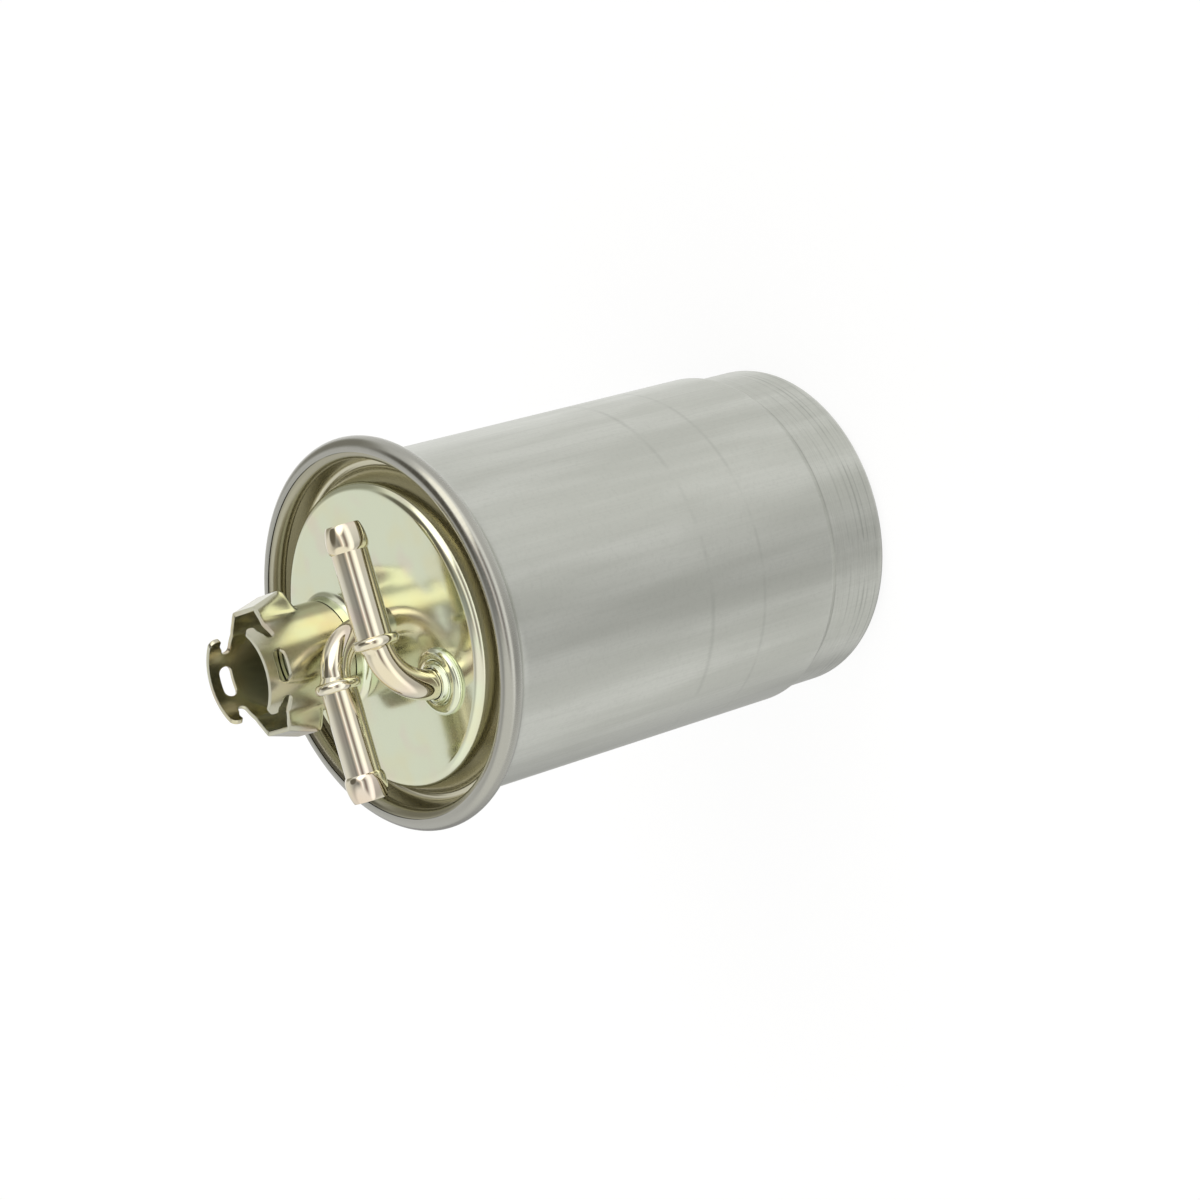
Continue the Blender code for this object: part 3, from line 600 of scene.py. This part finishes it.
def creased(along, z):
    """Where a point of the flat sheet lies once the tube is formed: x towards the ear, y towards the tab.

    An ear is a plate pushed out of the tube and closed by a steep gusset. Beyond that the tube's side flares.
    """
    turn = along / COLLAR_R
    tube = Vector((math.sin(turn), math.cos(turn))) * COLLAR_R
    from_middle = QUARTER - along
    gusset_end = EAR_HALF + GUSSET
    flare = 1.3 * MM * portion(z, EAR_BULGE_Z, EAR_TOP_Z)
    flare *= 1 - portion(from_middle, gusset_end, EAR_HALF + FLARE_END)
    side = tube * (1 + flare / COLLAR_R)
    plate = tube.lerp(Vector((ear_reach(z), from_middle)), portion(z, EAR_ROOT_Z, EAR_ROOT_Z + 1.3 * MM))
    return plate.lerp(side, portion(from_middle, EAR_HALF, gusset_end))


def formed(along, z):
    """The formed sheet with its creases rounded over the sheet's own bend radius."""
    reach = 0.3 * MM
    total = Vector((0.0, 0.0))
    for step_along in (-reach, 0, reach):
        for step_up in (-reach, 0, reach):
            at = min(along + step_along, 2 * QUARTER - along - step_along)
            point = creased(abs(at), min(z + step_up, EAR_TOP_Z) if z <= EAR_TOP_Z else z)
            if along + step_along < 0:
                point.x = -point.x
            if along + step_along > QUARTER:
                point.y = -point.y
            total += point
    return total / 9


def collar_sheet():
    """The collar: a flat quarter cut into small cells, formed, mirrored twice and given its thickness."""
    shape = bmesh.new()
    face = shape.faces.new([shape.verts.new((along, z, 0)) for along, z in collar_outline()])
    face.normal_update()
    pitch = 0.45 * MM
    columns = int(QUARTER / pitch)
    rows = int((COLLAR_TOP_Z - COLLAR_FOOT_Z) / pitch)
    cuts = [((i * pitch, 0, 0), (1, 0, 0)) for i in range(1, columns + 1)]
    cuts += [((0, COLLAR_FOOT_Z + (i + 0.5) * pitch, 0), (0, 1, 0)) for i in range(rows + 1)]
    for place, normal in cuts:
        everything = shape.verts[:] + shape.edges[:] + shape.faces[:]
        bmesh.ops.bisect_plane(shape, geom=everything, plane_co=place, plane_no=normal, dist=0.01 * MM)
    for vert in shape.verts:
        along, z = vert.co.x, vert.co.y
        position = formed(along, z)
        vert.co = (position.x, position.y, z)
    for axis in (Vector((1, 0, 0)), Vector((0, 1, 0))):
        copied = bmesh.ops.duplicate(shape, geom=shape.verts[:] + shape.edges[:] + shape.faces[:])["geom"]
        verts = [item for item in copied if isinstance(item, bmesh.types.BMVert)]
        flip = Matrix.Identity(3)
        flip[0][0], flip[1][1] = 1 - 2 * axis.x, 1 - 2 * axis.y
        bmesh.ops.transform(shape, matrix=flip.to_4x4(), verts=verts)
        bmesh.ops.remove_doubles(shape, verts=shape.verts, dist=0.02 * MM)
    bmesh.ops.translate(shape, verts=shape.verts, vec=(0, COLLAR_Y, 0))
    obj = finish_mesh("collar_sheet", shape, 60)
    outside = max(obj.data.polygons, key=lambda p: p.center.x)
    if outside.normal.x < 0:
        obj.data.flip_normals()
    sheet = obj.modifiers.new("Sheet", "SOLIDIFY")
    sheet.thickness = COLLAR_SHEET
    sheet.offset = -1
    bevel = obj.modifiers.new("Edge", "BEVEL")
    bevel.width = 0.2 * MM
    bevel.segments = 2
    bevel.limit_method = "ANGLE"
    bevel.angle_limit = math.radians(55)
    return obj


def socket_cup():
    """The cup inside the neck that takes the control valve's nose, with the fuel's way through its floor."""
    low, floor_z, top = 110.0, 111.5, 126.3
    way_r, inner_r, outer_r = 2.2, 8.0, 9.25
    corners = [(way_r, low, 0.2), (outer_r, low, 0.8), (outer_r, top, 0.1), (8.6, top, 0.2)]
    corners += [(inner_r, 125.4, 0.4), (inner_r, floor_z, 0.4), (way_r, floor_z, 0.3)]
    return turned("socket_cup", rounded(corners), (0, COLLAR_Y))


def boss_body():
    """The brass boss of the drain: a flange under the can's recess and a neck up through it."""
    low, flange_top, top = BOSS_LOW_Z / MM, 13.0, BOSS_TOP_Z / MM
    bore_r, neck_r, flange_r = 4.3, 7.5, 11.0
    corners = [(bore_r, low, 0.4), (flange_r, low, 0.6), (flange_r, flange_top, 0.2)]
    corners += [(neck_r, flange_top, 0.2), (neck_r, top, 0.4), (bore_r, top, 0.3)]
    return turned("boss_body", rounded(corners))


def screw_body():
    """The drain screw, with a scalloped grip and a blind way drilled up through its head."""
    low, head_top, top = SCREW_LOW_Z / MM, 9.0, SCREW_TOP_Z / MM
    way_r, shank_r, head_r = 1.6, 4.0, 8.5
    corners = [(way_r, low + 0.6, 0), (2.4, low, 0.3), (head_r, low, 0.8), (head_r, head_top, 0.6)]
    corners += [(shank_r, head_top, 0.3), (shank_r, top - 1.2, 0.4), (2.8, top, 0.3), (0, top, 0)]
    corners += [(0, 16.0, 0), (way_r, 15.2, 0)]
    screw = turned("screw_body", rounded(corners), steps=120)
    scallops, reach = 10, 9.6 * MM
    for i in range(scallops):
        angle = 2 * math.pi * i / scallops
        at = (reach * math.cos(angle), reach * math.sin(angle))
        combine(screw, cutter(1.9 * MM, 2 * MM, 8.9 * MM, at, 32))
    reshade(screw)
    return screw


# ---------------------------------------------------------------- stage


def camera():
    """The picture's camera."""
    data = bpy.data.cameras.new("camera")
    data.lens = LENS_MM
    data.sensor_width = FILM_MM
    data.clip_end = 20
    obj = bpy.data.objects.new("camera", data)
    back = CAMERA_RIGHT.cross(CAMERA_UP)
    turn = Matrix((CAMERA_RIGHT, CAMERA_UP, back)).transposed().to_4x4()
    obj.matrix_world = Matrix.Translation(CAMERA_AT) @ turn
    bpy.context.scene.collection.objects.link(obj)
    bpy.context.scene.camera = obj


def floor():
    """A white paper sweep, lit from within so that it stays white. The metal reflects the studio past it."""
    shape = bmesh.new()
    bmesh.ops.create_grid(shape, x_segments=1, y_segments=1, size=3.0)
    obj = finish_mesh("floor", shape)
    obj.location.z = -0.05 * MM
    obj.visible_glossy = False
    finish = Finish("floor_paper", (0.16, 0.16, 0.16), 0.9, 0.0)
    grain = finish.noise(finish.scaled(0.4), 2.0)
    paper = finish.mix(grain, (0.155, 0.155, 0.155), (0.165, 0.165, 0.165))
    finish.set(Base_Color=paper, Emission_Color=(1.0, 1.0, 1.0), Emission_Strength=0.86)
    obj.data.materials.append(finish.material)


def studio():
    """The room round the object: a bright sweep and window, a dim ceiling with one lit strip, a soft light.

    Its stops are pairs of an angle in degrees and a brightness or colour.
    """
    world = bpy.data.worlds.new("studio")
    world.use_nodes = True
    bpy.context.scene.world = world
    tree = Tree(world.node_tree)
    toward = tree.add("ShaderNodeTexCoord").outputs["Generated"]
    way = tree.split(toward)
    turn = tree.math("ADD", tree.math("DIVIDE", tree.math("ARCTAN2", way[1], way[0]), 2 * math.pi), 0.5)
    rise = tree.math("MULTIPLY", tree.math("ARCSINE", way[2]), 2 / math.pi)

    # Below the horizon: the sweep and the dim room past its edges, from one side right round to it again.
    below = [(-180, 0.86), (-146, 0.75), (-126, 0.48), (-106, 0.62), (-86, 0.70), (-46, 0.97), (-12, 0.78)]
    below += [(14, 0.86), (54, 0.98), (80, 1.12), (97, 0.80), (112, 0.42), (134, 0.44), (156, 0.80)]
    below += [(180, 0.86)]
    low = tree.stops(turn, [((angle + 180) / 360, level) for angle, level in below])

    # Above it, by elevation, in front of the object and behind it.
    front = [(0, 1.25), (12, 1.45), (20, 1.25), (28, 0.80), (35, (0.36, 0.315, 0.31))]
    front += [(42, (0.38, 0.34, 0.33)), (48, 0.70), (53, 1.05), (56, 1.35), (59, (1.1, 1.0, 1.0))]
    front += [(65, (0.66, 0.60, 0.56)), (72, 0.36), (79, 0.26), (90, 0.34)]
    back = [(0, 0.80), (19, 0.88), (41, 0.80), (58, 0.59), (74, 0.41), (90, 0.36)]
    walls = []
    for side in (back, front):
        walls.append(tree.stops(rise, [(angle / 90, level) for angle, level in side], "CARDINAL"))
    high = tree.mix(tree.ramp(way[1], 0.15, -0.25), *walls)
    colour = tree.mix(tree.ramp(way[2], -0.12, 0.03), low, high)

    # What breaks that up: a pale wall on the outlet's side, two dark corners and the soft light. Each is a
    # bearing, an elevation, the half angles where it starts and is full, and a colour.
    patches = [(185, 42, 48, 30, (1.05, 1.05, 1.02)), (38, 58, 26, 14, (0.15, 0.14, 0.12))]
    patches += [(50, 14, 30, 12, (0.36, 0.35, 0.31)), (-25, 36, 27, 15, (2.1, 2.05, 1.9))]
    for bearing, lift, outer, inner, level in patches:
        bearing, lift = math.radians(bearing), math.radians(lift)
        aim = (math.cos(bearing) * math.cos(lift), math.sin(bearing) * math.cos(lift), math.sin(lift))
        facing = tree.vector("DOT_PRODUCT", toward, aim)
        inside = tree.ramp(facing, math.cos(math.radians(outer)), math.cos(math.radians(inner)))
        colour = tree.mix(inside, colour, level)
    background = world.node_tree.nodes["Background"]
    tree.feed(background.inputs[0], colour)
    bpy.context.scene.view_settings.view_transform = "Standard"


# ---------------------------------------------------------------- assembly


def main():
    """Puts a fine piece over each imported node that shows, and a finish on each that doesn't."""
    can_metal = aluminium()
    plate_metal = chromate(
        "chromate_plate",
        base=(0.72, 0.76, 0.58),
        warm=(0.76, 0.73, 0.48),
        rose=(0.74, 0.66, 0.56),
        roughness=0.13,
        wave=0.12,
        rim=(0.65, 0.62, 0.47),
    )
    collar_metal = chromate(
        "chromate_collar",
        base=(0.60, 0.59, 0.46),
        warm=(0.62, 0.54, 0.33),
        rose=(0.58, 0.46, 0.34),
        roughness=0.20,
        wave=0.1,
    )
    pipe_metal = chromate(
        "chromate_pipe",
        base=(0.76, 0.72, 0.58),
        warm=(0.78, 0.67, 0.46),
        rose=(0.76, 0.62, 0.55),
        roughness=0.07,
        wave=0.05,
    )
    steel = plain("plain_steel", (0.50, 0.50, 0.49), 0.35, 1.0)
    cup_metal = plain("dull_chromate", (0.52, 0.53, 0.42), 0.6, 0.3)
    brass = plain("turned_brass", (0.70, 0.52, 0.25), 0.3, 1.0)
    rubber = plain("black_rubber", (0.02, 0.02, 0.02), 0.75, 0.0, 2.0)
    plastic = plain("black_plastic", (0.03, 0.03, 0.035), 0.45, 0.0, 4.0)
    compound = plain("seam_compound", (0.08, 0.22, 0.16), 0.7, 0.0)
    paper = plain("filter_paper", (0.62, 0.47, 0.25), 0.9, 0.0, 1.5, 0.3)
    glue = plain("plastisol", (0.45, 0.20, 0.08), 0.5, 0.0)

    own(can_shell(), "can", can_metal)
    own(lid_shell(), "lid", plate_metal)
    own(collar_sheet(), "valve_collar", collar_metal)
    own(socket_cup(), "valve_socket_cup", cup_metal)
    inlet = hose_pipe("inlet_tube", INLET_XY, INLET_ELBOW, 1, INLET_TIP_X, INLET_Z, INLET_END_Z)
    own(inlet, "inlet_pipe", pipe_metal)
    outlet = hose_pipe("outlet_tube", OUTLET_XY, OUTLET_ELBOW, -1, OUTLET_TIP_X, OUTLET_Z, OUTLET_END_Z)
    own(outlet, "outlet_pipe", pipe_metal)
    own(ferrule("inlet_ring", INLET_XY, True), "inlet_ferrule", plate_metal)
    own(ferrule("outlet_ring", OUTLET_XY, False), "outlet_ferrule", plate_metal)
    own(boss_body(), "drain_boss", brass)
    own(screw_body(), "drain_screw", plastic, "drain_turn")

    finishes = {
        "seam_seal": compound,
        "outlet_socket": steel,
        "socket_seal": rubber,
        "element_top_cap": steel,
        "top_glue": glue,
        "element_pleats": paper,
        "centre_tube": steel,
        "bottom_glue": glue,
        "element_bottom_cap": steel,
        "water_baffle": steel,
        "element_spring": steel,
        "spring_seat": steel,
        "drain_washer": rubber,
        "boss_nut": brass,
        "drain_seal": rubber,
    }
    for node, finish in finishes.items():
        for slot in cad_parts[node].material_slots:
            slot.material = finish


camera()
floor()
studio()
main()
